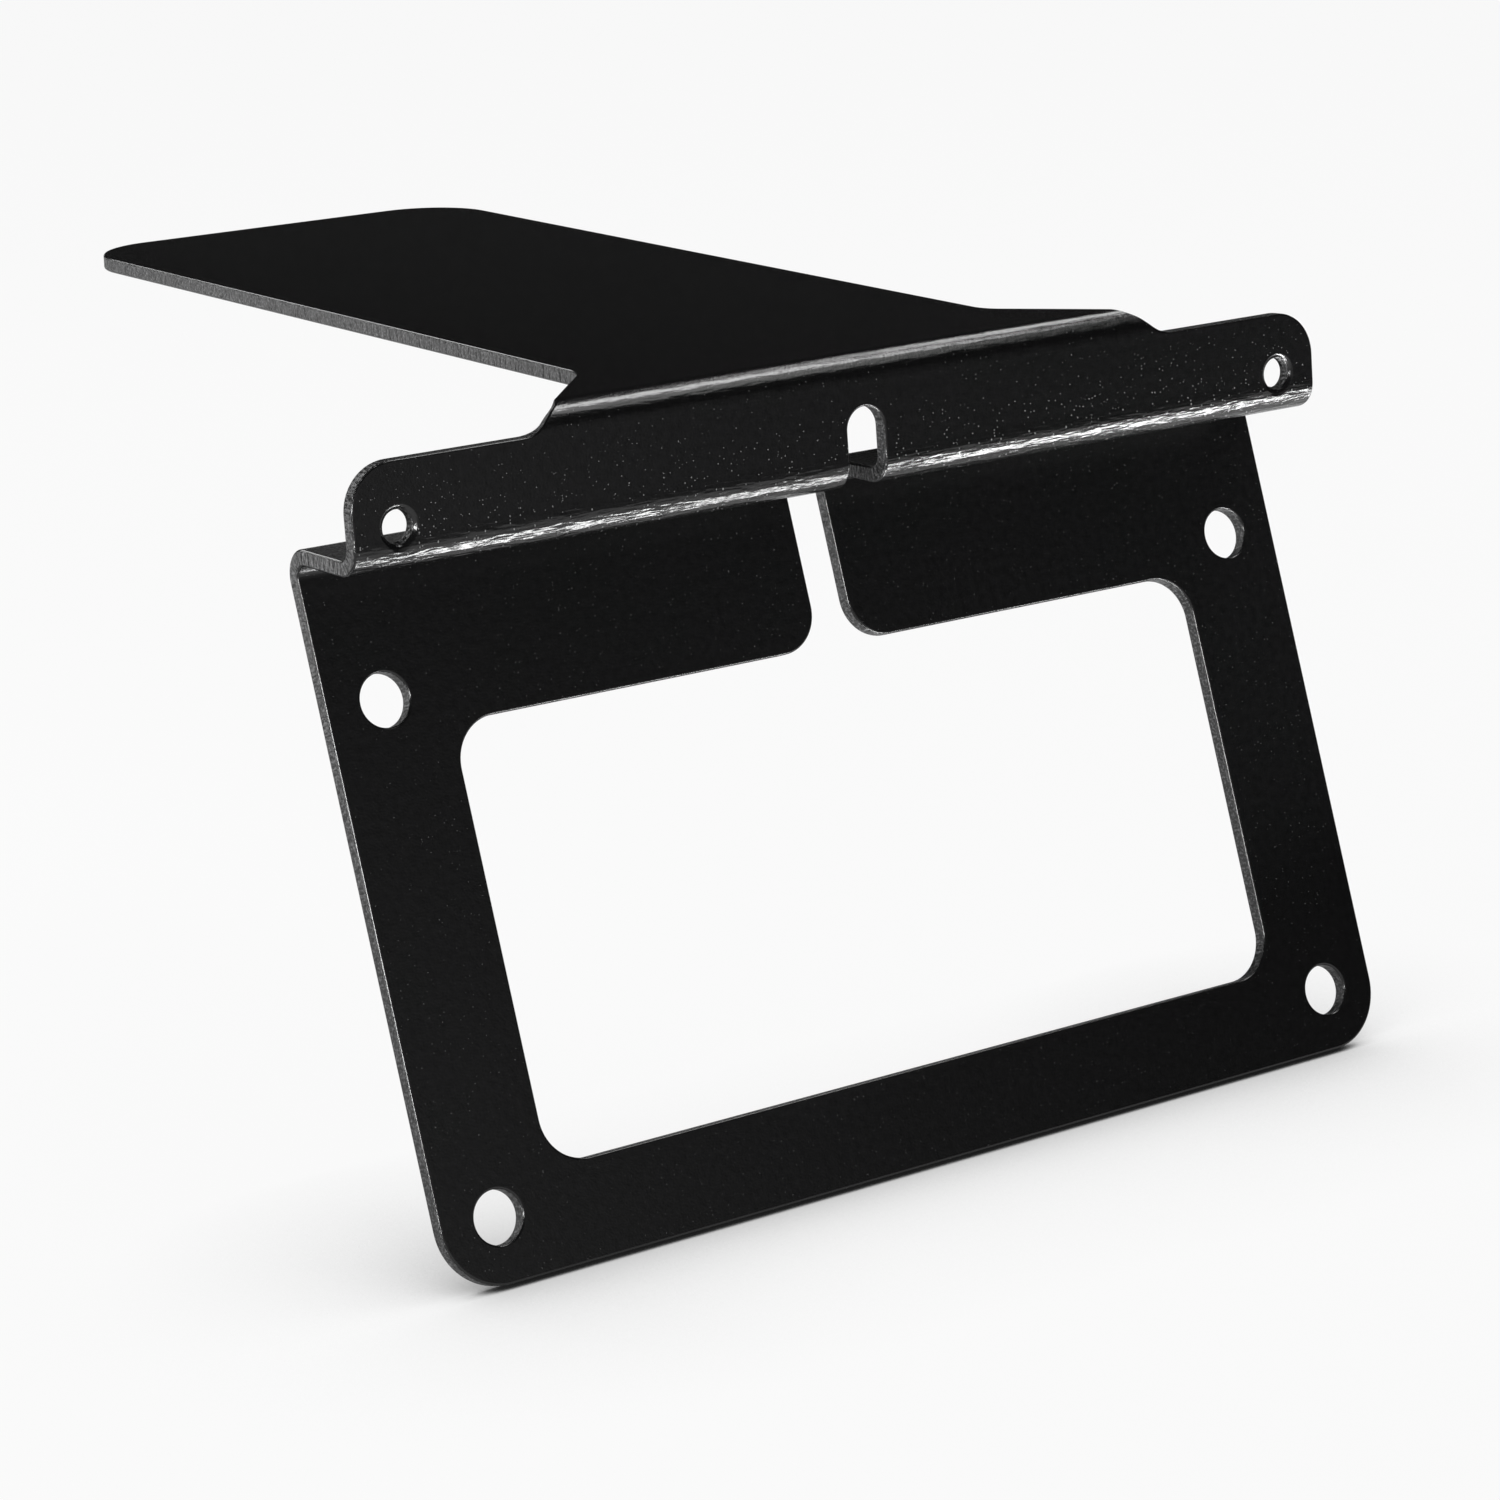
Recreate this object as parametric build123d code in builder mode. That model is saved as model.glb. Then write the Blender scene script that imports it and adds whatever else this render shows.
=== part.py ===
from build123d import *
import os
from math import cos, radians, sin, tan

# A number-plate bracket for the tail of a motorcycle, folded from one steel sheet.
# The tongue runs forward and is fastened under the tail. At its rear end the sheet turns
# down into the strip, whose two ears carry tapped holes for the indicators, then forward
# along the shelf, and down again into the frame that the number plate is bolted to.
# X is across the motorcycle, +Y is towards the tongue's free end and -Y is where the
# number plate faces. The origin is the middle of the tongue's top face.

# Sheet and folds. A fold's angle is how far the sheet turns, its radius is the inside one.
sheet_thickness = 2.3
fold_radius = 1.7
upper_fold_angle = 86.2
middle_fold_angle = 92.6
lower_fold_angle = 107.5
# The fibre that keeps its length in a fold, as a share of the thickness from the inside
neutral_fibre_share = 0.45

# Lengths of the flats between the sharp corners that the outer face would have
tongue_length = 165.0
strip_height = 18.7
shelf_depth = 16.2

# Tongue and the flare that widens it into the upper fold
tongue_width = 70.0
tongue_corner_radius = 12.0
flare_start = 17.3
flare_angle = 45.0
flare_side_radius = 6.0
flare_ear_radius = 6.0
# The curve into each ear runs round the fold, and is cut in this many steps
ear_curve_steps = 4

# Frame and its number-plate holes, in the standard pattern of 5.75 by 2.75 inches
plate_hole_spacing_x = 146.05
plate_hole_spacing_y = 69.85
plate_hole_diameter = 7.4
plate_hole_margin = 9.0
plate_hole_drop = 19.7
window_drop = 24.4
side_bar_width = 18.2
bottom_bar_width = 13.6
window_corner_radius = 6.4

# Ears and their tapped holes
ear_corner_radius = 6.6
ear_hole_margin = 6.925
ear_hole_drop = 12.5
ear_thread_bore = 4.5
ear_countersink_diameter = 5.5
ear_countersink_angle = 90.0

# Slot that parts the shelf and the frame's top bar in the middle
slot_width = 6.2
slot_top_drop = 7.1
slot_mouth_radius = 6.0

# How far the cutting shapes reach past the sheet
cut_clearance = 0.5

# Sizes that follow from those above
outer_fold_radius = fold_radius + sheet_thickness
upper_fold_setback = outer_fold_radius * tan(radians(upper_fold_angle) / 2)
upper_fold_length = (fold_radius + neutral_fibre_share * sheet_thickness) * radians(upper_fold_angle)
bracket_width = plate_hole_spacing_x + 2 * plate_hole_margin
ear_hole_spacing = bracket_width - 2 * ear_hole_margin
frame_height = plate_hole_drop + plate_hole_spacing_y + plate_hole_margin
window_width = bracket_width - 2 * side_bar_width
window_height = frame_height - window_drop - bottom_bar_width
# The frame's lower corners are round about the lower plate holes
frame_corner_radius = plate_hole_margin
# The slot is cut from the strip's face through the shelf and the frame's top bar
slot_cut_depth = shelf_depth + 3 * sheet_thickness

# Headings of the four flats in the side view, from +Y towards +Z
tongue_heading = 180.0
strip_heading = tongue_heading + upper_fold_angle
shelf_heading = strip_heading + middle_fold_angle
frame_heading = shelf_heading - lower_fold_angle


def along(start, heading, length):
    """The point of the side view that lies a length from start along a heading."""
    return start + Vector(cos(radians(heading)), sin(radians(heading))) * length


def outer_face(corner, heading):
    """The plane of a flat's outer face, with its Y pointing back up the sheet."""
    up_the_sheet = Vector(0, -cos(radians(heading)), -sin(radians(heading)))
    across = Vector(1, 0, 0)
    return Plane(origin=(0, corner.X, corner.Y), x_dir=across, z_dir=across.cross(up_the_sheet))


# Sharp corners of the outer face in the side view, where X stands for the model's Y
tongue_end = Vector(tongue_length / 2, 0)
upper_corner = along(tongue_end, tongue_heading, tongue_length)
middle_corner = along(upper_corner, strip_heading, strip_height)
lower_corner = along(middle_corner, shelf_heading, shelf_depth)
frame_end = along(lower_corner, frame_heading, frame_height)
strip_face = outer_face(upper_corner, strip_heading)
frame_face = outer_face(lower_corner, frame_heading)

# The flare in the flat sheet, by distance from where the upper fold starts. Its sides
# leave the tongue at the flare angle, keep that angle round the fold, and curve into the
# top edges of the ears, which lie where the fold ends.
flare_begin = upper_fold_setback - flare_start
flare_slope = tan(radians(flare_angle))
fold_start_half_width = tongue_width / 2 - flare_begin * flare_slope
ear_curve_x = (
    fold_start_half_width
    + upper_fold_length * flare_slope
    + flare_ear_radius * (1 - sin(radians(flare_angle))) / cos(radians(flare_angle))
)

# Sections of the upper fold as (distance, half width)
fold_sections = [(0.0, fold_start_half_width)]
for step in range(ear_curve_steps + 1):
    angle = radians(flare_angle + (90 - flare_angle) * step / ear_curve_steps)
    distance = upper_fold_length - flare_ear_radius * (1 - sin(angle))
    fold_sections.append((distance, ear_curve_x - flare_ear_radius * cos(angle)))

fold_start = along(upper_corner, tongue_heading, -upper_fold_setback)
fold_centre = fold_start - Vector(0, outer_fold_radius)
waste_edge = bracket_width / 2 + cut_clearance


def across_fold(distance):
    """The plane across the upper fold at a distance round it, on its outer face."""
    turned = radians(upper_fold_angle * distance / upper_fold_length)
    outward = Vector(0, -sin(turned), cos(turned))
    ahead = Vector(0, -cos(turned), -sin(turned))
    centre = Vector(0, fold_centre.X, fold_centre.Y)
    return Plane(origin=centre + outward * outer_fold_radius, x_dir=(1, 0, 0), z_dir=ahead)


with BuildPart() as folded_bracket:
    # The whole sheet at its full width, extruded across from its side view
    with BuildSketch(Plane.YZ) as side_view:
        with BuildLine() as outer_line:
            FilletPolyline(
                tongue_end,
                upper_corner,
                middle_corner,
                lower_corner,
                frame_end,
                radius=(outer_fold_radius, outer_fold_radius, fold_radius),
            )
            offset(amount=sheet_thickness, side=Side.LEFT)
        make_face()
    extrude(amount=bracket_width / 2, both=True)

    # Waste beside the tongue and its flare
    with BuildSketch(Plane.XY) as tongue_waste:
        with BuildLine() as waste_outline:
            Polyline(
                (tongue_width / 2, tongue_end.X + cut_clearance),
                (tongue_width / 2, upper_corner.X + flare_start),
                (fold_start_half_width, fold_start.X),
                (waste_edge, fold_start.X),
                (waste_edge, tongue_end.X + cut_clearance),
                close=True,
            )
        make_face()
        mirror(about=Plane.YZ)
    extrude(amount=-sheet_thickness, mode=Mode.SUBTRACT)

    # Waste beside the upper fold, cut square to the sheet all the way round the bend
    for (start, start_half), (end, end_half) in zip(fold_sections, fold_sections[1:]):
        with BuildLine() as fold_path:
            ThreePointArc([across_fold(place).origin for place in (start, (start + end) / 2, end)])
        for distance, half_width in ((start, start_half), (end, end_half)):
            with BuildSketch(across_fold(distance)):
                with Locations((half_width, cut_clearance)):
                    Rectangle(
                        waste_edge - half_width,
                        sheet_thickness + 2 * cut_clearance,
                        align=(Align.MIN, Align.MAX),
                    )
        fold_waste = sweep(path=fold_path.wire(), multisection=True, mode=Mode.SUBTRACT)
        mirror(objects=fold_waste, about=Plane.YZ, mode=Mode.SUBTRACT)

    # Rounded corners: the tongue's free end, the roots of the flare, the ears, the frame
    square_to_tongue = folded_bracket.edges().filter_by(Axis.Z).group_by(Axis.Y)
    fillet(square_to_tongue[-1], radius=tongue_corner_radius)
    fillet(square_to_tongue[-2], radius=flare_side_radius)
    square_to_strip = folded_bracket.edges().filter_by(Axis((0, 0, 0), strip_face.z_dir))
    ear_corners = square_to_strip.group_by(Axis.X)
    fillet(ear_corners[0] + ear_corners[-1], radius=ear_corner_radius)
    square_to_frame = folded_bracket.edges().filter_by(Axis((0, 0, 0), frame_face.z_dir))
    fillet(square_to_frame.group_by(Axis.Z)[0], radius=frame_corner_radius)

    # Window, whose lower edge leaves the bottom bar
    with BuildSketch(frame_face) as window:
        with Locations((0, -window_drop - window_height / 2)):
            RectangleRounded(window_width, window_height, window_corner_radius)
    extrude(amount=-sheet_thickness, mode=Mode.SUBTRACT)

    # Slot from a round end in the strip down into the window
    slot_end_y = -slot_top_drop - slot_width / 2
    window_middle = along(lower_corner, frame_heading, window_drop + window_height / 2)
    slot_foot_y = strip_face.to_local_coords(Vector(0, window_middle.X, window_middle.Y)).Y
    with BuildSketch(strip_face) as slot:
        with Locations((0, slot_end_y)):
            Circle(slot_width / 2)
            Rectangle(slot_width, slot_end_y - slot_foot_y, align=(Align.CENTER, Align.MAX))
    extrude(amount=-slot_cut_depth, mode=Mode.SUBTRACT)
    slot_mouth = folded_bracket.edges().filter_by(Axis((0, 0, 0), frame_face.z_dir))
    fillet(slot_mouth.filter_by_position(Axis.X, -slot_width, slot_width), radius=slot_mouth_radius)

    # Plate holes, and the countersunk tapped holes in the ears
    with Locations(frame_face):
        with Locations((0, -plate_hole_drop - plate_hole_spacing_y / 2)):
            with GridLocations(plate_hole_spacing_x, plate_hole_spacing_y, 2, 2):
                Hole(plate_hole_diameter / 2, depth=sheet_thickness)
    with Locations(strip_face):
        with Locations((0, -ear_hole_drop)):
            with GridLocations(ear_hole_spacing, 0, 2, 1):
                CounterSinkHole(
                    ear_thread_bore / 2,
                    ear_countersink_diameter / 2,
                    depth=sheet_thickness,
                    counter_sink_angle=ear_countersink_angle,
                )

folded_bracket.part.label = "folded_bracket"
os.makedirs("parts", exist_ok=True)
export_step(folded_bracket.part, "parts/folded_bracket.step")
print(folded_bracket.part.label, folded_bracket.part.bounding_box())
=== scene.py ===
# %% [markdown]
# # A tail tidy: one steel sheet, cut, folded and powder coated
#
# This bracket holds a number plate and two indicators under the tail of a motorcycle. It is
# a single sheet, so the whole lesson is about one piece, made here as it is in a workshop:
# cut a flat blank, break its edges, tap two holes, fold it three times and coat it black.
#
# The first step loads the measured model. Everything below lands on it, so nothing has to
# be placed by eye.

# %% Load the measured model
from math import atan2, ceil, cos, degrees, pi, radians, sin, tan
import bmesh
import bpy
import numpy as np
from mathutils import Matrix, Vector
from mathutils.geometry import tessellate_polygon


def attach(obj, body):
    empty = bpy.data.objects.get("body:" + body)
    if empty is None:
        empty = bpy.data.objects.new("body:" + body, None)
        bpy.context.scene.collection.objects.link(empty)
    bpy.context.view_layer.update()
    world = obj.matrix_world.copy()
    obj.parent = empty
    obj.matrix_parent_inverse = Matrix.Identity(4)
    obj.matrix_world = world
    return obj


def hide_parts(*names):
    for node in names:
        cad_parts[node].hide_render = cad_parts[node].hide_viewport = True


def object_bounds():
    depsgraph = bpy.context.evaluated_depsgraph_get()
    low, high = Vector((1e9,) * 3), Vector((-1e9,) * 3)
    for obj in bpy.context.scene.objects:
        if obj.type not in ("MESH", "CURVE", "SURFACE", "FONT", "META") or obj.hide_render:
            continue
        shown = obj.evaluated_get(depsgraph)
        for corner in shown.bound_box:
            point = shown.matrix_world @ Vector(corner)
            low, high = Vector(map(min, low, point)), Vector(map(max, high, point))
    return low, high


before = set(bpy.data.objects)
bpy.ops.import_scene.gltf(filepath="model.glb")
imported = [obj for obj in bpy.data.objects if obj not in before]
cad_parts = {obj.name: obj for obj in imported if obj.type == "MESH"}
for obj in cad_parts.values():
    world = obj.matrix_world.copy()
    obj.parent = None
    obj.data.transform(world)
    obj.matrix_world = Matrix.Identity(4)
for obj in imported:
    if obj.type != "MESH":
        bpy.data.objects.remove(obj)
measured_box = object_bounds()
MM = 0.001
print("measured box in mm:", [[round(v / MM, 2) for v in corner] for corner in measured_box])

# %% [markdown]
# ## The camera
#
# The picture was taken from the left and a little above, through a long lens that leans by
# about two degrees. A camera is a place and three directions: ahead, to the right and down.
# Working those out from three angles keeps each angle readable. The numbers were found by
# fitting the measured model's outline to the one in the picture.

# %% Camera at the photograph's angle
PICTURE_SIDE = 1500
camera_azimuth = radians(-34.843)
camera_elevation = radians(15.272)
camera_roll = radians(1.831)
camera_place = Vector((-0.367642, -0.580799, 0.113441))
focal_length_in_pixels = 4574.96

ahead = Vector((
    -sin(camera_azimuth) * cos(camera_elevation),
    cos(camera_azimuth) * cos(camera_elevation),
    -sin(camera_elevation),
))
level_right = Vector((cos(camera_azimuth), sin(camera_azimuth), 0.0))
level_down = ahead.cross(level_right)
picture_right = level_right * cos(camera_roll) + level_down * sin(camera_roll)
picture_down = level_down * cos(camera_roll) - level_right * sin(camera_roll)

camera_data = bpy.data.cameras.new("camera")
camera_data.sensor_width = 36.0
camera_data.lens = focal_length_in_pixels * camera_data.sensor_width / PICTURE_SIDE
camera = bpy.data.objects.new("camera", camera_data)
turned = Matrix((picture_right, -picture_down, -ahead)).transposed().to_4x4()
camera.matrix_world = Matrix.Translation(camera_place) @ turned
bpy.context.scene.collection.objects.link(camera)
bpy.context.scene.camera = camera
print("lens in mm:", round(camera_data.lens, 2))

# %% [markdown]
# ## Sizes of the sheet
#
# A folded part is drawn by the sharp corners that its front face would have. Each fold then
# takes a little of the flats beside it, called the setback, and gives back an arc. These are
# the sizes of the measured model, in millimetres.

# %% The sheet and its folds
thickness = 2.3
inside_radius = 1.7
outside_radius = inside_radius + thickness
neutral_radius = inside_radius + 0.45 * thickness
upper_turn, middle_turn, lower_turn = 86.2, 92.6, -107.5

tongue_length = 165.0
strip_height = 18.7
shelf_depth = 16.2
frame_height = 98.55


def setback(front_radius, turn):
    """How much of a flat a fold takes, measured from the front face's sharp corner."""
    return front_radius * tan(radians(abs(turn)) / 2)


upper_setback = setback(outside_radius, upper_turn)
middle_setback = setback(outside_radius, middle_turn)
lower_setback = setback(inside_radius, lower_turn)

# %% [markdown]
# ## From the blank to the folded sheet
#
# On the flat blank x runs across and s runs down from the tongue's free end. A third number,
# depth, says how far a point lies under the front face. Folding is then a walk down the side
# view: straight ahead in a flat, round a centre in a fold. In a fold the metal is stretched
# outside and squeezed inside, and one layer a little inside the middle keeps its length.

# %% The side view as a row of flats and folds
runs = []


def add_run(length, turn=0.0, front_radius=0.0):
    """Adds a flat, or a fold that turns by some degrees with its front face at a radius."""
    if runs:
        last = runs[-1]
        begin, heading = last["begin"] + last["length"], last["heading"] + radians(last["turn"])
        start = in_side_view(last, last["length"], 0.0)[0]
    else:
        begin, heading, start = 0.0, pi, np.array([tongue_length / 2, 0.0])
    runs.append(dict(
        begin=begin, length=length, heading=heading, start=start, turn=turn, front_radius=front_radius
    ))


def in_side_view(run, distance, depth):
    """Place in the side view, direction down the sheet, direction out of the front, stretch."""
    distance, depth = np.asarray(distance, float), np.asarray(depth, float)
    heading = run["heading"] + radians(run["turn"]) * distance / run["length"]
    along = np.stack([np.cos(heading), np.sin(heading)], axis=-1)
    out = np.stack([np.sin(heading), -np.cos(heading)], axis=-1)
    if run["turn"]:
        bend = np.sign(run["turn"]) * run["front_radius"]
        first_out = np.array([sin(run["heading"]), -cos(run["heading"])])
        front = run["start"] - bend * first_out + bend * out
        stretch = (run["front_radius"] + np.sign(run["turn"]) * depth) / neutral_radius
    else:
        front = run["start"] + along * distance[..., None]
        stretch = np.ones_like(distance)
    return front + out * depth[..., None], along, out, stretch


add_run(tongue_length - upper_setback)
add_run(neutral_radius * radians(upper_turn), upper_turn, outside_radius)
add_run(strip_height - upper_setback - middle_setback)
add_run(neutral_radius * radians(middle_turn), middle_turn, outside_radius)
add_run(shelf_depth - middle_setback - lower_setback)
add_run(neutral_radius * radians(-lower_turn), lower_turn, inside_radius)
add_run(frame_height - lower_setback)
strip_begin, frame_begin = runs[2]["begin"], runs[6]["begin"]
sheet_end = runs[6]["begin"] + runs[6]["length"]
print("flat length of the blank in mm:", round(sheet_end, 2))

# %% Folding any number of blank points at once
def fold_up(blank, lean):
    """Places and directions on the folded sheet for blank points (x, s, depth), in mm."""
    places, directions = np.zeros_like(blank), np.zeros_like(blank)
    for number, run in enumerate(runs):
        inside = blank[:, 1] >= run["begin"]
        if number == 0:
            inside[:] = True
        x, s, depth = blank[inside].T
        side, along, out, stretch = in_side_view(run, s - run["begin"], depth)
        places[inside] = np.column_stack([x, side])
        squeezed = along * (lean[inside, 1] / stretch)[:, None] + out * lean[inside, 2][:, None]
        directions[inside] = np.column_stack([lean[inside, 0], squeezed])
    return places, directions / np.linalg.norm(directions, axis=1)[:, None]


lowest = fold_up(np.array([[0.0, sheet_end, 0.0]]), np.array([[0.0, 0.0, 1.0]]))[0][0]
print("middle of the frame's lower edge in mm:", lowest.round(2).tolist())

# %% [markdown]
# ## Outlines of the blank
#
# Every cut on this part is a polygon with rounded corners or a circle. One function rounds
# the corners. It also gives, at every point, the direction that leaves the metal, which the
# edges need later. The metal is always to the left of the way an outline runs.

# %% Rounded outlines and circles
DEGREES_PER_STEP = 5.0
TINY = 1e-6


def rounded(corners):
    """Points of a closed outline from (x, s, radius) corners, and the way out of the metal."""
    points, outward = [], []
    corners = np.array(corners, float)
    for before, corner, after in zip(np.roll(corners, 1, 0), corners, np.roll(corners, -1, 0)):
        arriving, leaving = corner[:2] - before[:2], after[:2] - corner[:2]
        arriving, leaving = arriving / np.linalg.norm(arriving), leaving / np.linalg.norm(leaving)
        turn = atan2(arriving[0] * leaving[1] - arriving[1] * leaving[0], arriving @ leaving)
        bend = np.sign(turn) * corner[2]
        right = np.array([arriving[1], -arriving[0]])
        centre = corner[:2] - arriving * corner[2] * tan(abs(turn) / 2) - right * bend
        steps = ceil(degrees(abs(turn)) / DEGREES_PER_STEP)
        for angle in np.linspace(0.0, turn, steps + 1):
            way = np.array([
                right[0] * cos(angle) - right[1] * sin(angle),
                right[0] * sin(angle) + right[1] * cos(angle),
            ])
            points.append(centre + way * bend)
            outward.append(way)
    points, outward = np.array(points), np.array(outward)
    apart = np.linalg.norm(points - np.roll(points, 1, 0), axis=1) > TINY
    return points[apart], outward[apart]


def circle(centre, radius, steps):
    """Points round a hole, and the way from them to its middle."""
    angle = -np.arange(steps) * 2 * pi / steps
    way = -np.column_stack([np.cos(angle), np.sin(angle)])
    return np.array(centre) - way * radius, way


# %% The outside of the blank
tongue_half_width = 35.0
tongue_corner_radius = 12.0
flare_start = tongue_length - 17.3
flare_curve = 6.0
bracket_half_width = 82.025
ear_corner_radius = 6.6
frame_corner_radius = 9.0

right_side = [
    (tongue_half_width, 0.0, tongue_corner_radius),
    (tongue_half_width, flare_start, flare_curve),
    (tongue_half_width + strip_begin - flare_start, strip_begin, flare_curve),
    (bracket_half_width, strip_begin, ear_corner_radius),
    (bracket_half_width, sheet_end, frame_corner_radius),
]
left_side = [(-x, s, radius) for x, s, radius in reversed(right_side)]
outside = rounded(right_side + left_side)
print("points round the outside:", len(outside[0]))

# %% The window and the slot, cut as one outline
window_half_width = 63.825
window_top = frame_begin + 24.4 - lower_setback
window_bottom = window_top + 60.55
window_corner_radius = 6.4
slot_half_width = 3.1
slot_top = strip_begin + 7.1 - upper_setback
slot_mouth_radius = 6.0

left_of_window = [
    (-slot_half_width, slot_top, slot_half_width),
    (-slot_half_width, window_top, slot_mouth_radius),
    (-window_half_width, window_top, window_corner_radius),
    (-window_half_width, window_bottom, window_corner_radius),
]
right_of_window = [(-x, s, radius) for x, s, radius in reversed(left_of_window)]
window = rounded(left_of_window + right_of_window)
print("points round the window and slot:", len(window[0]))

# %% [markdown]
# ## Edges that a powder coat has rounded
#
# A laser leaves a square edge, and the coat flows a little round it. That small round is
# what draws the thin bright line along every edge of the real part, so it is modelled: each
# outline becomes a stack of rings that goes round the front edge, down the cut and round
# the back edge. A ring is an inset, a depth and a direction.

# %% Rings round a plain cut edge
edge_radius = 0.35
edge_steps = 4


def plain_rings():
    """Rings as (inset, depth, lean outward, lean along, lean up), from front to back."""
    rings = []
    for angle in np.linspace(0.0, pi / 2, edge_steps):
        rings.append((
            edge_radius * (1 - sin(angle)),
            -edge_radius * (1 - cos(angle)),
            sin(angle),
            0,
            cos(angle),
        ))
    for angle in np.linspace(0.0, pi / 2, edge_steps):
        rings.append((
            edge_radius * (1 - cos(angle)),
            edge_radius * (1 - sin(angle)) - thickness,
            cos(angle),
            0,
            -sin(angle),
        ))
    return rings


plain = plain_rings()
print("rings round a plain edge:", len(plain))

# %% [markdown]
# ## Tapped holes
#
# Each ear takes an M5 screw. The hole has a small countersink, then the thread: a groove
# that climbs 0.8 mm in each turn. The groove is a wave in the radius that depends on the
# depth and on the angle together, which is all that a helix is.

# %% Rings down a tapped hole
thread_pitch = 0.8
thread_crest_radius = 2.25
thread_groove = 0.24
countersink_depth = 0.5
countersink_break = 0.14
thread_rows = 34
thread_fade = 0.2
hole_steps = 72


def tapped_rings():
    """Rings of a countersunk thread. Its groove changes along each ring."""
    slope = sin(pi / 4)
    rings = [
        (countersink_depth + 2 * countersink_break, 0.0, 0.0, 0, 1.0),
        (countersink_depth + countersink_break, -0.4 * countersink_break, sin(pi / 8), 0, cos(pi / 8)),
        (countersink_depth - countersink_break, -1.8 * countersink_break, slope, 0, slope),
        (countersink_break, countersink_break - countersink_depth, slope, 0, slope),
        (0.0, -countersink_depth - countersink_break, 1.0, 0, 0.0),
    ]
    turned = np.arange(hole_steps) / hole_steps
    first, last = -countersink_depth - 2 * countersink_break, edge_radius - thickness
    for depth in np.linspace(first, last, thread_rows):
        fade = min(1.0, (first - depth) / thread_fade, (depth - last) / thread_fade)
        phase = 2 * pi * (depth / thread_pitch - turned)
        groove = fade * thread_groove * (1 - np.cos(phase)) / 2
        steepness = fade * thread_groove * np.sin(phase) / 2
        sideways = -steepness / (thread_crest_radius + groove)
        rings.append((groove, depth, 1.0, sideways, steepness * 2 * pi / thread_pitch))
    for angle in np.linspace(0.0, pi / 2, edge_steps)[1:]:
        rings.append((
            edge_radius * (1 - cos(angle)),
            last - edge_radius * sin(angle),
            cos(angle),
            0,
            -sin(angle),
        ))
    return rings


tapped = tapped_rings()
print("rings down a tapped hole:", len(tapped))

# %% [markdown]
# ## Building the sheet
#
# The rings give the cut edges. The two faces are filled with triangles between the innermost
# rings. So that the folds come out round, lines are laid across the blank at every few
# degrees of each fold, and the triangles have to keep to them.

# %% Lines across the blank where it will be folded
FOLD_STEP = 4.0
fold_lines = []
for run in runs:
    if run["turn"]:
        count = ceil(abs(run["turn"]) / FOLD_STEP)
        fold_lines.extend(run["begin"] + run["length"] * np.arange(count + 1) / count)
print("lines across the folds:", len(fold_lines))


def split_at_fold_lines(points, outward):
    """Adds points where the outline's inset copy crosses a fold line."""
    new_points, new_outward = [], []
    for number in range(len(points)):
        following = (number + 1) % len(points)
        a, b = points[number], points[following]
        way_a, way_b = outward[number], outward[following]
        from_s, to_s = (a - way_a * edge_radius)[1], (b - way_b * edge_radius)[1]
        new_points.append(a)
        new_outward.append(way_a)
        fall = to_s - from_s
        shares = sorted((line - from_s) / fall for line in fold_lines if abs(fall) > TINY)
        for share in shares:
            if 1e-4 < share < 1 - 1e-4:
                new_points.append(a + (b - a) * share)
                new_outward.append(way_a + (way_b - way_a) * share)
    return np.array(new_points), np.array(new_outward)


# %% Every cut with its rings
plate_hole_radius = 3.7
plate_hole_x = 73.025
upper_row = frame_begin + 19.7 - lower_setback
lower_row = upper_row + 69.85
ear_hole_x = 75.1
ear_hole_s = strip_begin + 12.5 - upper_setback

cuts = [
    (split_at_fold_lines(*outside), plain),
    (split_at_fold_lines(*window), plain),
]
for side in (-1, 1):
    for row in (upper_row, lower_row):
        cuts.append((circle((side * plate_hole_x, row), plate_hole_radius, hole_steps), plain))
    cuts.append((circle((side * ear_hole_x, ear_hole_s), thread_crest_radius, hole_steps), tapped))
print("cuts in the blank:", len(cuts))

# %% Points on the rings and the walls between them
blank_points, leans, cut_shares, walls = [], [], [], []
front_loops, back_loops = [], []
for (points, outward), rings in cuts:
    sideways = np.column_stack([-outward[:, 1], outward[:, 0]])
    count, first = len(points), len(blank_points)
    for inset, depth, lean_out, lean_side, lean_up in rings:
        inset = np.broadcast_to(inset, count)
        place = points - outward * inset[:, None]
        lean = outward * lean_out + sideways * np.broadcast_to(lean_side, count)[:, None]
        blank_points.extend(np.column_stack([place, np.full(count, depth)]))
        leans.extend(np.column_stack([lean, np.broadcast_to(lean_up, count)]))
        cut_shares.extend(np.full(count, lean_out))
    for ring in range(len(rings) - 1):
        here = first + ring * count
        for k in range(count):
            after = (k + 1) % count
            walls.append((here + k, here + after, here + count + after, here + count + k))
    front_loops.append(list(range(first, first + count)))
    back_loops.append(list(range(first + (len(rings) - 1) * count, first + len(rings) * count)))
print("points:", len(blank_points), "wall faces:", len(walls))

# %% Where the fold lines meet the outlines
def crossings(line, loops):
    """Loop points nearest to where a fold line meets the loops, from left to right."""
    met = set()
    for loop in loops:
        for a, b in zip(loop, loop[1:] + loop[:1]):
            above, below = blank_points[a][1] - line, blank_points[b][1] - line
            if (above < 0) != (below < 0):
                met.add(a if abs(above) < abs(below) else b)
    return sorted(met, key=lambda n: blank_points[n][0])


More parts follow.
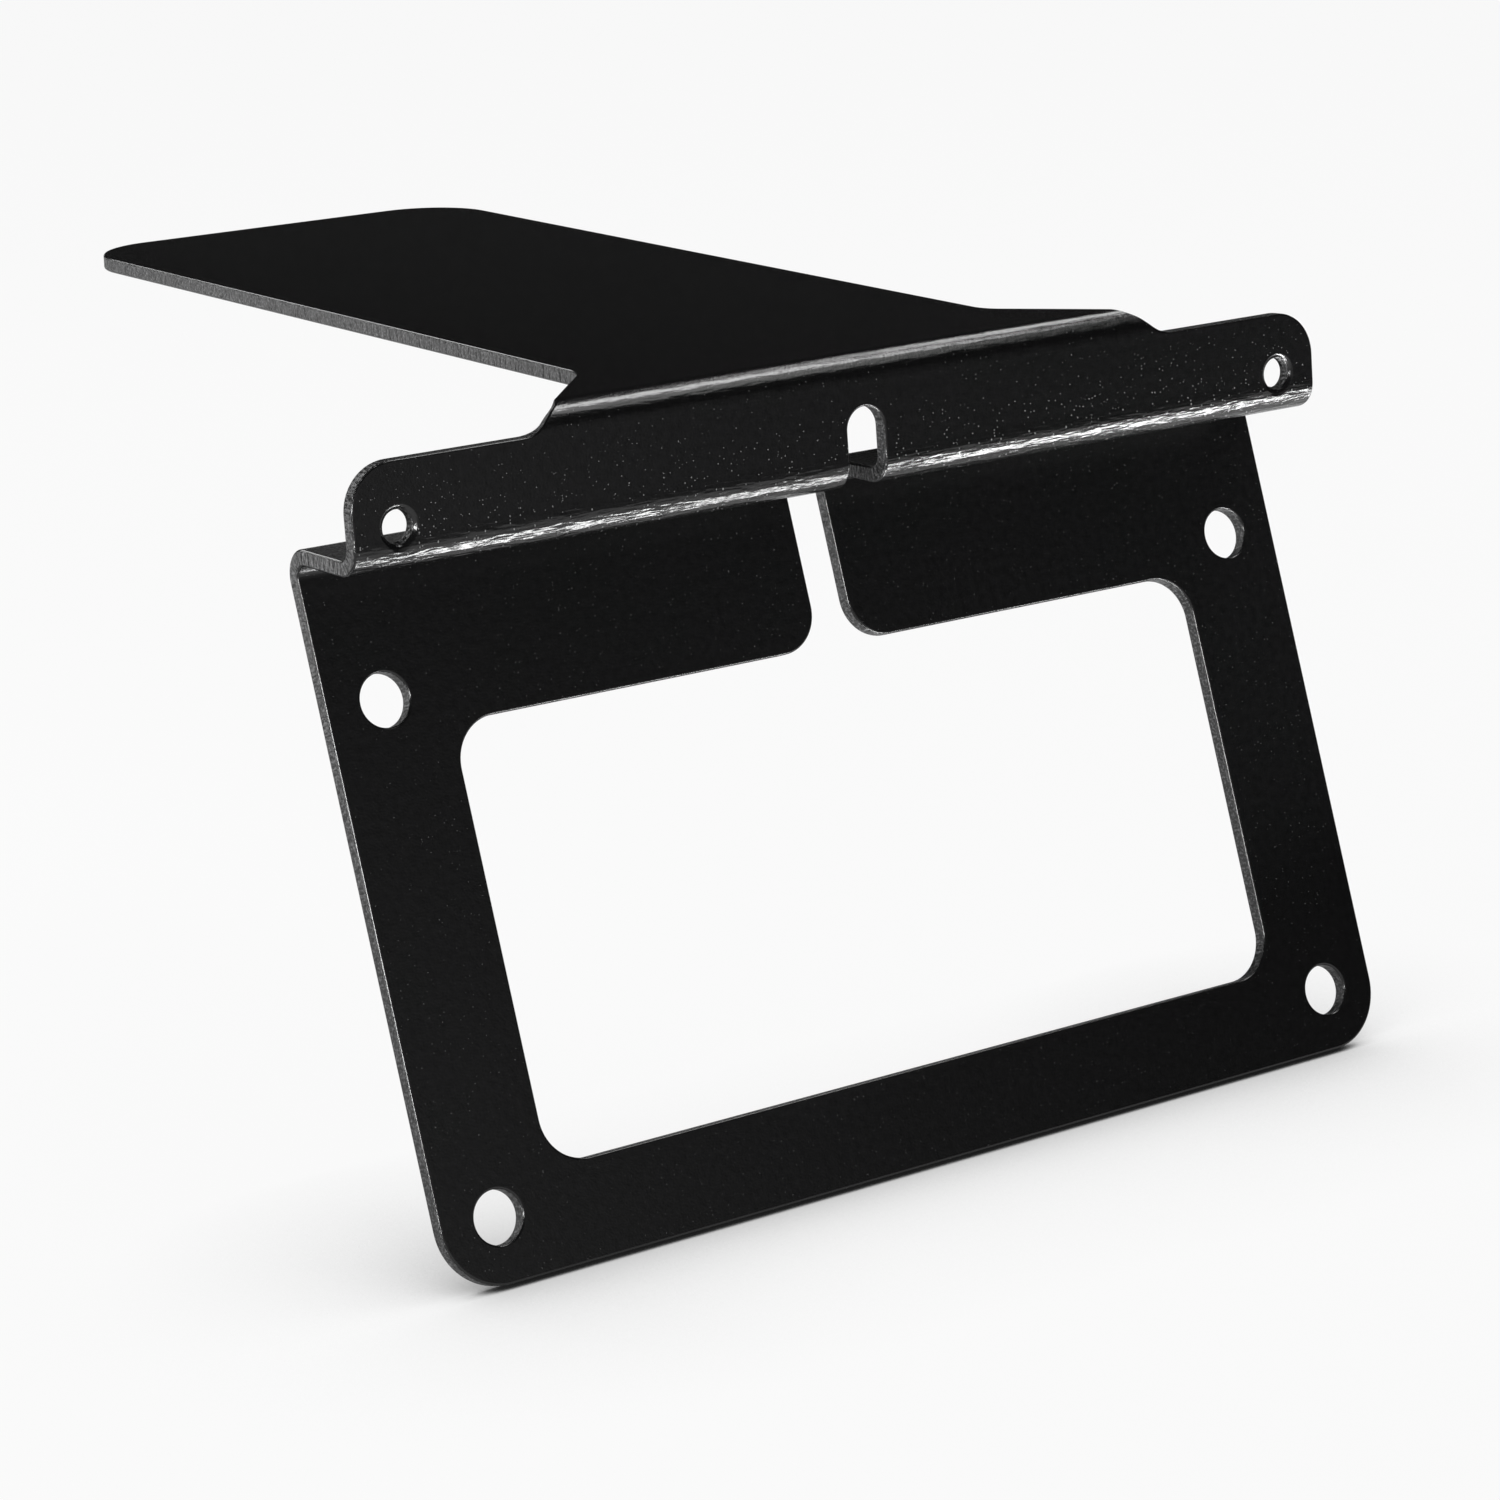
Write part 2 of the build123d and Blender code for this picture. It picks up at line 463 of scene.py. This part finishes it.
def polygons_between(loops):
    """The pieces that the fold lines cut a face into, each as the points round it."""
    across = {}
    for line in fold_lines:
        met = crossings(line, loops)
        for left, right in zip(met[::2], met[1::2]):
            across[left], across[right] = right, left
    after = {a: b for loop in loops for a, b in zip(loop, loop[1:] + loop[:1])}
    polygons, unused = [], set(after)
    for start in after:
        polygon, n = [], start
        while n in unused:
            unused.discard(n)
            polygon.append(n)
            n = after[n]
            if n in across:
                polygon.append(n)
                n = across[n]
        if polygon:
            polygons.append(polygon)
    return polygons


# %% Filling the two faces with triangles
def fill(loops):
    """Triangles over the metal between closed loops, kept to the fold lines."""
    polygons = polygons_between(loops)
    whole = [polygon for polygon in polygons if sorted(polygon) in [sorted(loop) for loop in loops]]
    solid = [polygon for polygon in polygons if polygon not in whole]
    frame_face = max(solid, key=lambda polygon: max(blank_points[n][1] for n in polygon))
    triangles = []
    for polygon in solid:
        borders = [polygon] + (whole if polygon is frame_face else [])
        corners = [[Vector((*blank_points[n][:2], 0.0)) for n in border] for border in borders]
        numbers = sum(borders, [])
        triangles.extend(tuple(numbers[k] for k in triangle) for triangle in tessellate_polygon(corners))
    print("pieces:", len(solid), "holes in the frame:", len(whole), "triangles:", len(triangles))
    return triangles


faces = walls + fill(front_loops) + fill(back_loops)
print("faces:", len(faces))

# %% [markdown]
# ## Where the sheet is drawn grey
#
# Each point carries a number that is 1 on a cut wall and 0 on a face. The shelf's top faces up
# and looks as grey and rough as the walls on the real part, so its points get a 1 as well and
# take the walls' lighter grey and duller gloss. A second material would do it too, but it would
# end in a hard line where the shelf's top begins.

# %% Marking the shelf's top
blank_points, leans, cut_shares = (np.array(v, float) for v in (blank_points, leans, cut_shares))
shelf = runs[4]
down_the_shelf = blank_points[:, 1] - shelf["begin"]
on_shelf = (down_the_shelf > -TINY) & (down_the_shelf < shelf["length"] + TINY)
shelf_top = on_shelf & (blank_points[:, 2] < TINY - thickness)
cut_shares[shelf_top] = 1.0
print("points on the shelf's top:", int(shelf_top.sum()))

# %% [markdown]
# ## What bending does to the flare
#
# A fold stretches its outer face, which is drawn in at the ends, and squeezes its inner face,
# which bulges out. On the real part that shows as a small kink in the flare's edge at the
# upper fold. It could be sculpted on the folded mesh. It is simpler here, where it only moves
# points sideways on the flat blank, by a millimetre at most.

# %% The kink at each end of the upper fold
upper_fold = runs[1]
round_fold = (blank_points[:, 1] - upper_fold["begin"]) / upper_fold["length"]
under_front = np.clip(-blank_points[:, 2] / thickness, 0.0, 1.0)
drawn_in = np.interp(round_fold, (-0.8, 0.0, 0.15, 0.30, 0.55, 0.75), (0.0, 0.8, 1.0, 0.9, 0.25, 0.0))
squeezed_out = np.interp(round_fold, (-0.3, 0.25, 0.8), (0.0, 0.55, 0.0))
moved_in = drawn_in * (1 - under_front) - squeezed_out * under_front
blank_points[:, 0] -= np.sign(blank_points[:, 0]) * moved_in
print("moved in and out by at most, in mm:", round(moved_in.max(), 2), round(-moved_in.min(), 2))

# %% [markdown]
# ## Folding
#
# Now the press brake. Every point is walked down the side view, and its direction is turned
# with it. Those directions go onto the mesh, so flats shade dead flat and folds perfectly
# round, however few triangles they have. The blank's own coordinates are kept on the mesh
# too: the coat's grain is laid on them, so it runs round the folds without a seam.

# %% The folded sheet as a mesh
places, directions = fold_up(blank_points, leans)
sheet_mesh = bpy.data.meshes.new("folded_sheet")
sheet_mesh.from_pydata((places * MM).tolist(), [], faces)
shape = bmesh.new()
shape.from_mesh(sheet_mesh)
bmesh.ops.recalc_face_normals(shape, faces=shape.faces)
shape.to_mesh(sheet_mesh)
shape.free()
print("faces of the folded sheet:", len(sheet_mesh.polygons))

# %% What the mesh carries for its coat
sheet_mesh.attributes.new("blank", "FLOAT_VECTOR", "POINT").data.foreach_set("vector", blank_points.ravel())
sheet_mesh.attributes.new("cut", "FLOAT", "POINT").data.foreach_set("value", cut_shares)
sheet_mesh.polygons.foreach_set("use_smooth", [True] * len(faces))
sheet_mesh.validate()
sheet_mesh.normals_split_custom_set_from_vertices(directions.tolist())
print("attributes:", [name for name in ("blank", "cut") if name in sheet_mesh.attributes])

# %% The sheet takes the measured model's place
sheet = bpy.data.objects.new("folded_sheet", sheet_mesh)
bpy.context.scene.collection.objects.link(sheet)
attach(sheet, "root")
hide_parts("folded_bracket")
edge_numbers = np.zeros(len(sheet_mesh.loops), np.int32)
sheet_mesh.loops.foreach_get("edge_index", edge_numbers)
print("edges with other than two faces:", int((np.bincount(edge_numbers) != 2).sum()))

# %% [markdown]
# ## The coat
#
# Powder coat is a plastic skin about a tenth of a millimetre thick. It is nearly black, has
# a satin gloss, and is never quite level: it has a slow ripple like orange peel under a fine
# grain. An image wrapped round the mesh would need a seam somewhere. Noise that is laid on
# the blank's own coordinates, in millimetres, runs round the folds unbroken.

# %% Helpers for materials
def new_material(name):
    """A material with only its output and a Principled shader."""
    material = bpy.data.materials.new(name)
    material.use_nodes = True
    return material, material.node_tree.nodes, material.node_tree.links


def combine(nodes, links, operation, first, second):
    """One value out of two, by an operation such as MULTIPLY."""
    node = nodes.new("ShaderNodeMath")
    node.operation = operation
    links.new(first, node.inputs[0])
    if isinstance(second, float):
        node.inputs[1].default_value = second
    else:
        links.new(second, node.inputs[1])
    return node.outputs["Value"]


def spread(nodes, links, value, low, high, from_low=0.0, from_high=1.0):
    """Maps a value from one range to another."""
    node = nodes.new("ShaderNodeMapRange")
    ends = {"From Min": from_low, "From Max": from_high, "To Min": low, "To Max": high}
    for name, number in ends.items():
        node.inputs[name].default_value = number
    links.new(value, node.inputs["Value"])
    return node.outputs["Result"]


def scaled(nodes, links, vector, x, s, depth):
    """A place on the blank with each of its three numbers scaled."""
    node = nodes.new("ShaderNodeVectorMath")
    node.operation = "MULTIPLY"
    node.inputs[1].default_value = (x, s, depth)
    links.new(vector, node.inputs[0])
    return node.outputs["Vector"]


def noise(nodes, links, vector, scale, detail=2.0, roughness=0.5):
    """Noise at a scale of so many features per unit."""
    node = nodes.new("ShaderNodeTexNoise")
    node.inputs["Scale"].default_value = scale
    node.inputs["Detail"].default_value = detail
    node.inputs["Roughness"].default_value = roughness
    links.new(vector, node.inputs["Vector"])
    return node.outputs["Fac"]


def raised(nodes, links, height, distance, normal=None):
    """A normal that follows a height, on top of an earlier one. The distance is in mm."""
    node = nodes.new("ShaderNodeBump")
    node.inputs["Distance"].default_value = distance * MM
    links.new(height, node.inputs["Height"])
    if normal:
        links.new(normal, node.inputs["Normal"])
    return node.outputs["Normal"]


# %% [markdown]
# ## Tone and gloss of the faces and the walls
#
# The cut walls are greyer, grainier and duller than the faces. The attribute called cut is 1
# on a wall and falls to 0 round the edge, so one material can pass from one tone and gloss
# to the other, with no line between them.

# %% Powder coat: colour and gloss
coat, nodes, links = new_material("powder_coat")
shader = nodes["Principled BSDF"]
shader.inputs["Specular IOR Level"].default_value = 0.4

on_blank = nodes.new("ShaderNodeAttribute")
on_blank.attribute_name = "blank"
place = on_blank.outputs["Vector"]
on_wall = nodes.new("ShaderNodeAttribute")
on_wall.attribute_name = "cut"
wall = spread(nodes, links, on_wall.outputs["Fac"], 0.0, 1.0, 0.80, 0.98)


def coat_tone(dark, light, scale, low=0.3, high=0.7):
    """A ramp of near black over noise, from dark below a level of it to light above another."""
    ramp = nodes.new("ShaderNodeValToRGB")
    ramp.color_ramp.elements[0].color = (dark, dark, dark * 1.03, 1)
    ramp.color_ramp.elements[1].color = (light, light, light * 1.03, 1)
    ramp.color_ramp.elements[0].position, ramp.color_ramp.elements[1].position = low, high
    links.new(noise(nodes, links, place, scale, 4.0), ramp.inputs["Fac"])
    return ramp.outputs["Color"]


tones = nodes.new("ShaderNodeMix")
tones.data_type = "RGBA"
links.new(wall, tones.inputs["Factor"])
links.new(coat_tone(dark=0.0028, light=0.0052, scale=0.9), tones.inputs["A"])
links.new(coat_tone(dark=0.001, light=0.070, scale=2.6, low=0.50, high=0.64), tones.inputs["B"])

face_gloss = spread(nodes, links, noise(nodes, links, place, scale=2.5, detail=3.0), 0.16, 0.23)
duller = spread(nodes, links, wall, 0.0, 0.28)
links.new(combine(nodes, links, "ADD", face_gloss, duller), shader.inputs["Roughness"])
print("nodes for tone and gloss:", len(nodes))

# %% [markdown]
# ## Ripple, grain and striations
#
# Relief this fine would take millions of faces as real shape. Bump only tilts the light, and
# one bump can be put on another. The laser leaves striations on the walls, which run across
# the thickness: noise that is stretched along the depth draws just such lines.

# %% Powder coat: ripple, grain and striations
soft_waves = noise(nodes, links, place, scale=0.9, detail=1.0)
ripple = raised(nodes, links, soft_waves, distance=0.012)
fine_noise = noise(nodes, links, place, scale=3.2, detail=2.0, roughness=0.6)
grain = raised(nodes, links, fine_noise, distance=0.022, normal=ripple)

down_the_wall = scaled(nodes, links, place, 1.0, 1.0, 0.25)
lines = noise(nodes, links, down_the_wall, scale=1.9, detail=1.0, roughness=0.4)
lines_on_walls = combine(nodes, links, "MULTIPLY", lines, wall)
striations = raised(nodes, links, lines_on_walls, distance=0.32, normal=grain)
print("nodes with the relief:", len(nodes))

# %% [markdown]
# ## Marks of the press
#
# The die rubs the outside of a fold and leaves streaks along it, clear on the middle fold and
# faint on the upper one. They are noise stretched across the sheet. How far a point lies from
# the fold, down the sheet, says how strong they are, so they fade out beside it.

# %% Powder coat: marks of the press
down_the_sheet = nodes.new("ShaderNodeSeparateXYZ")
links.new(place, down_the_sheet.inputs["Vector"])


def away_from(run, share):
    """Distance down the sheet from a place in a fold, in mm."""
    away = nodes.new("ShaderNodeMath")
    away.operation = "ABSOLUTE"
    fold_place = run["begin"] + share * run["length"]
    links.new(combine(nodes, links, "SUBTRACT", down_the_sheet.outputs["Y"], fold_place), away.inputs[0])
    return away.outputs["Value"]


from_middle_fold = away_from(runs[3], 0.4)
on_middle_fold = spread(nodes, links, from_middle_fold, 1.0, 0.0, from_low=1.2, from_high=3.0)
from_upper_fold = away_from(runs[1], 0.6)
on_upper_fold = spread(nodes, links, from_upper_fold, 0.35, 0.0, from_low=1.0, from_high=2.4)
pressed = combine(nodes, links, "MAXIMUM", on_middle_fold, on_upper_fold)

along_the_fold = scaled(nodes, links, place, 0.13, 1.0, 1.0)
streaks = noise(nodes, links, along_the_fold, scale=2.3, detail=1.5, roughness=0.5)
pressed_streaks = combine(nodes, links, "MULTIPLY", streaks, pressed)
marks = raised(nodes, links, pressed_streaks, distance=0.15, normal=striations)
links.new(marks, shader.inputs["Normal"])
print("nodes with the marks:", len(nodes))

# %% [markdown]
# ## Painted glints
#
# Pale dots are painted into the coat's colour as the glints that its grain catches from the
# lamps, most of them near the middle fold, where its highlight is. Dots could be placed
# one by one. A Voronoi pattern has a dot in each of its cells and a random colour for each,
# so that colour's red gives every dot its own size, and near the fold they may grow larger.

# %% Powder coat: painted glints
DOTS_PER_MM = 1.8
# Grey of the painted glints: pale dots in the base colour that stand in for light caught by the grain.
GLINT_GREY = 0.15
SMALL_DOT, LARGE_DOT = 0.10, 0.22
GLINT_REACH = 17.0

dots = nodes.new("ShaderNodeTexVoronoi")
dots.inputs["Scale"].default_value = DOTS_PER_MM
links.new(place, dots.inputs["Vector"])
any_dot = nodes.new("ShaderNodeSeparateColor")
links.new(dots.outputs["Color"], any_dot.inputs["Color"])
nearness = spread(nodes, links, from_middle_fold, 1.0, 0.0, from_low=2.0, from_high=GLINT_REACH)
crowded = combine(nodes, links, "MULTIPLY", nearness, nearness)
largest = spread(nodes, links, crowded, SMALL_DOT, LARGE_DOT)
dot_size = combine(nodes, links, "MULTIPLY", any_dot.outputs["Red"], largest)
dot = combine(nodes, links, "LESS_THAN", dots.outputs["Distance"], dot_size)
# The painted glints are mixed over the coat's tones here.
with_glints = nodes.new("ShaderNodeMix")
with_glints.data_type = "RGBA"
with_glints.inputs["B"].default_value = (GLINT_GREY, GLINT_GREY, GLINT_GREY, 1)
links.new(dot, with_glints.inputs["Factor"])
links.new(tones.outputs["Result"], with_glints.inputs["A"])
links.new(with_glints.outputs["Result"], shader.inputs["Base Color"])
sheet_mesh.materials.append(coat)
print("nodes in the coat:", len(nodes))

# %% [markdown]
# ## The floor
#
# The part stands on its lower edge on a white floor. Lamps strong enough to make a floor white
# would spoil the black coat. So the camera and anything glossy see the floor glow by itself,
# and only a small share of it takes light and shade. The shadow comes from how open the
# floor is at each place: a wide soft shading, and a tight one right under the edge.

# %% Floor
FLOOR_WHITE = 1.0
floor_mesh = bpy.data.meshes.new("floor")
reach, front_edge, floor_z = 15.0, -0.36, measured_box[0].z
floor_corners = [(-reach, front_edge), (reach, front_edge), (reach, reach), (-reach, reach)]
floor_mesh.from_pydata([(x, y, floor_z) for x, y in floor_corners], [], [(0, 1, 2, 3)])
floor = bpy.data.objects.new("floor", floor_mesh)
bpy.context.scene.collection.objects.link(floor)
print("height of the floor in mm:", round(floor_z / MM, 2))

# %% The floor's own white, for the camera and for what is mirrored
GLOWING_SHARE = 0.97


def kinds_of_ray(nodes, links):
    """1 for a ray from the camera, and 1 for a ray off a glossy or clear surface."""
    path = nodes.new("ShaderNodeLightPath")
    glossy, clear = path.outputs["Is Glossy Ray"], path.outputs["Is Transmission Ray"]
    return path.outputs["Is Camera Ray"], combine(nodes, links, "MAXIMUM", glossy, clear)


pale, nodes, links = new_material("pale_floor")
shader = nodes["Principled BSDF"]
shader.inputs["Base Color"].default_value = (0.85, 0.85, 0.85, 1)
shader.inputs["Roughness"].default_value = 0.9
shader.inputs["Specular IOR Level"].default_value = 0.0
glow = nodes.new("ShaderNodeEmission")
glow.inputs["Color"].default_value = (FLOOR_WHITE, FLOOR_WHITE, FLOOR_WHITE, 1)
mix = nodes.new("ShaderNodeMixShader")
from_camera, off_shiny = kinds_of_ray(nodes, links)
seen = combine(nodes, links, "MAXIMUM", from_camera, off_shiny)
links.new(combine(nodes, links, "MULTIPLY", seen, GLOWING_SHARE), mix.inputs["Fac"])
print("nodes in the floor without its shadow:", len(nodes))

# %% The shadow under the part
def openness(distance, low, high, from_low, from_high):
    """How much of the sky a place on the floor sees within a distance, mapped to a range."""
    node = nodes.new("ShaderNodeAmbientOcclusion")
    node.samples = 8
    node.inputs["Distance"].default_value = distance
    return spread(nodes, links, node.outputs["AO"], low, high, from_low, from_high)


soft_shadow = openness(distance=0.05, low=0.30, high=0.965, from_low=0.40, from_high=0.95)
contact_line = openness(distance=0.0025, low=0.02, high=1.0, from_low=0.30, from_high=0.60)
links.new(combine(nodes, links, "MULTIPLY", soft_shadow, contact_line), glow.inputs["Strength"])
links.new(shader.outputs["BSDF"], mix.inputs[1])
links.new(glow.outputs["Emission"], mix.inputs[2])
links.new(mix.outputs["Shader"], nodes["Material Output"].inputs["Surface"])
floor_mesh.materials.append(pale)
print("nodes in the floor:", len(nodes))

# %% [markdown]
# ## The room
#
# A glossy black surface shows what it mirrors, so the room matters more than its light. The
# room is almost dark, which keeps the coat black. A dim wall at the left in front, near the
# horizon, is what the frame and the strip mirror as a grey that fades to the right. The
# camera sees plain white, and a surface that mirrors the back of the room low down does too.

# %% World: a dark room with a dim wall
ROOM_LIGHT = 0.025
DIM_WALL = 0.95
BACKDROP_WHITE = 0.96

world = bpy.data.worlds.new("studio")
bpy.context.scene.world = world
world.use_nodes = True
nodes, links = world.node_tree.nodes, world.node_tree.links
room = nodes["Background"]
room.inputs["Color"].default_value = (0.5, 0.5, 0.5, 1)
direction = nodes.new("ShaderNodeTexCoord")
part_by_part = nodes.new("ShaderNodeSeparateXYZ")
links.new(direction.outputs["Generated"], part_by_part.inputs["Vector"])
across, forward, up = (part_by_part.outputs[axis] for axis in "XYZ")
to_the_left = spread(nodes, links, across, 1.0, 0.0, from_low=0.40, from_high=0.60)
in_front = spread(nodes, links, forward, 1.0, 0.0, from_low=-0.60, from_high=-0.30)
near_horizon = spread(nodes, links, up, 1.0, 0.0, from_low=0.20, from_high=0.40)
left_front = combine(nodes, links, "MULTIPLY", to_the_left, in_front)
dim_wall = combine(nodes, links, "MULTIPLY", left_front, near_horizon)
links.new(spread(nodes, links, dim_wall, ROOM_LIGHT, DIM_WALL), room.inputs["Strength"])
print("nodes in the room:", len(nodes))

# %% World: the white backdrop
white = nodes.new("ShaderNodeBackground")
white.inputs["Color"].default_value = (FLOOR_WHITE, FLOOR_WHITE, FLOOR_WHITE, 1)
white.inputs["Strength"].default_value = BACKDROP_WHITE
behind = spread(nodes, links, forward, 0.0, 1.0, from_low=0.0, from_high=0.2)
low_down = spread(nodes, links, up, 1.0, 0.0, from_low=-0.02, from_high=0.03)
backdrop = combine(nodes, links, "MULTIPLY", behind, low_down)
from_camera, off_shiny = kinds_of_ray(nodes, links)
mirrored_white = combine(nodes, links, "MULTIPLY", off_shiny, backdrop)
shown_white = combine(nodes, links, "MAXIMUM", from_camera, mirrored_white)
mix = nodes.new("ShaderNodeMixShader")
links.new(shown_white, mix.inputs["Fac"])
links.new(room.outputs["Background"], mix.inputs[1])
links.new(white.outputs["Background"], mix.inputs[2])
links.new(mix.outputs["Shader"], nodes["World Output"].inputs["Surface"])
print("nodes with the backdrop:", len(nodes))

# %% [markdown]
# ## The lamps
#
# Each lamp is a soft box with one job, since a black coat shows it as a shape. The boxes above
# are mirrored in the upper fold, which faces up and to the front. The middle fold faces down
# and to the front, so only something on the floor can be mirrored there: two thin strips, the
# right one brighter. The last three light the cut walls on the left and the tongue's rim.
# A box is given by its radiance, how bright it looks, so resizing it keeps its tone.

# %% A soft box
def soft_box(name, place, aim, along, width, height, radiance):
    """A rectangular lamp at a place, turned to a point, with its width along a direction."""
    data = bpy.data.lights.new(name, "AREA")
    data.shape = "RECTANGLE"
    data.size, data.size_y = width, height
    data.energy = radiance * pi * width * height
    lamp = bpy.data.objects.new(name, data)
    back = (Vector(place) - Vector(aim)).normalized()
    up = back.cross(Vector(along)).normalized()
    turned = Matrix((up.cross(back), up, back)).transposed().to_4x4()
    lamp.matrix_world = Matrix.Translation(place) @ turned
    bpy.context.scene.collection.objects.link(lamp)
    lamp.visible_camera = False
    return lamp


folds = Vector((0.0, -0.083, -0.01))
middle = Vector((0.0, -0.05, -0.05))
print("lamps aim at, in mm:", [round(v / MM) for v in folds], [round(v / MM) for v in middle])

# %% Lamps above, for the upper fold
# Name, place from its aim, way that its width runs, width, height, radiance
lamps_above = (
    ("overhead_left", (0.47, 0.045, 0.80), (0.90, 0.43, 0.0), 0.22, 0.20, 13.0),
    ("overhead_right", (0.74, 0.47, 0.80), (0.54, 0.84, 0.0), 0.38, 0.13, 6.8),
    ("front_panel", (0.38, -0.18, 0.75), (1.0, 0.0, 0.0), 0.36, 0.44, 3.0),
)
for name, offset, along, width, height, radiance in lamps_above:
    soft_box(name, folds + Vector(offset), folds, along, width, height, radiance)
print("lamps above:", len(lamps_above))

# %% Strips on the floor, for the middle fold
strip_row = Vector((0.986, -0.165, 0.0))
strip_height_above_floor = 0.001
strip_depth = 0.012
# Name, place across, width, radiance
floor_strips = (
    ("floor_left", 0.025, 0.10, 36.0),
    ("floor_right", 0.147, 0.12, 84.0),
)
for name, x, width, radiance in floor_strips:
    place = Vector((x, -0.131 - 0.167 * (x - 0.075), floor_z + strip_height_above_floor))
    straight_up = place + Vector((0.0, 0.0, 1.0))
    strip = soft_box(name, place, straight_up, strip_row, width, strip_depth, radiance)
    strip.data.spread = radians(120)
print("strips on the floor:", len(floor_strips))

# %% Lamps for the walls and the tongue's rim
soft_box("left", middle + Vector((-0.66, -0.42, 0.12)), middle, (0.0, 0.0, 1.0), 0.12, 0.30, 56.0)
beside_tongue = Vector((-0.15, 0.16, -0.055))
to_the_right = beside_tongue + Vector((1.0, 0.0, 0.0))
soft_box("left_back", beside_tongue, to_the_right, (0.0, 1.0, 0.0), 0.20, 0.06, 5.5)
soft_box("back_edge", middle + Vector((-0.24, 0.71, 0.50)), middle, (1.0, 0.0, 0.0), 0.30, 0.30, 8.0)
print("lamps in all:", len(bpy.data.lights))

# %% [markdown]
# ## Finish
#
# The last cell sets the scene's view transform to Standard.

# %% Finish
bpy.context.scene.view_settings.view_transform = "Standard"
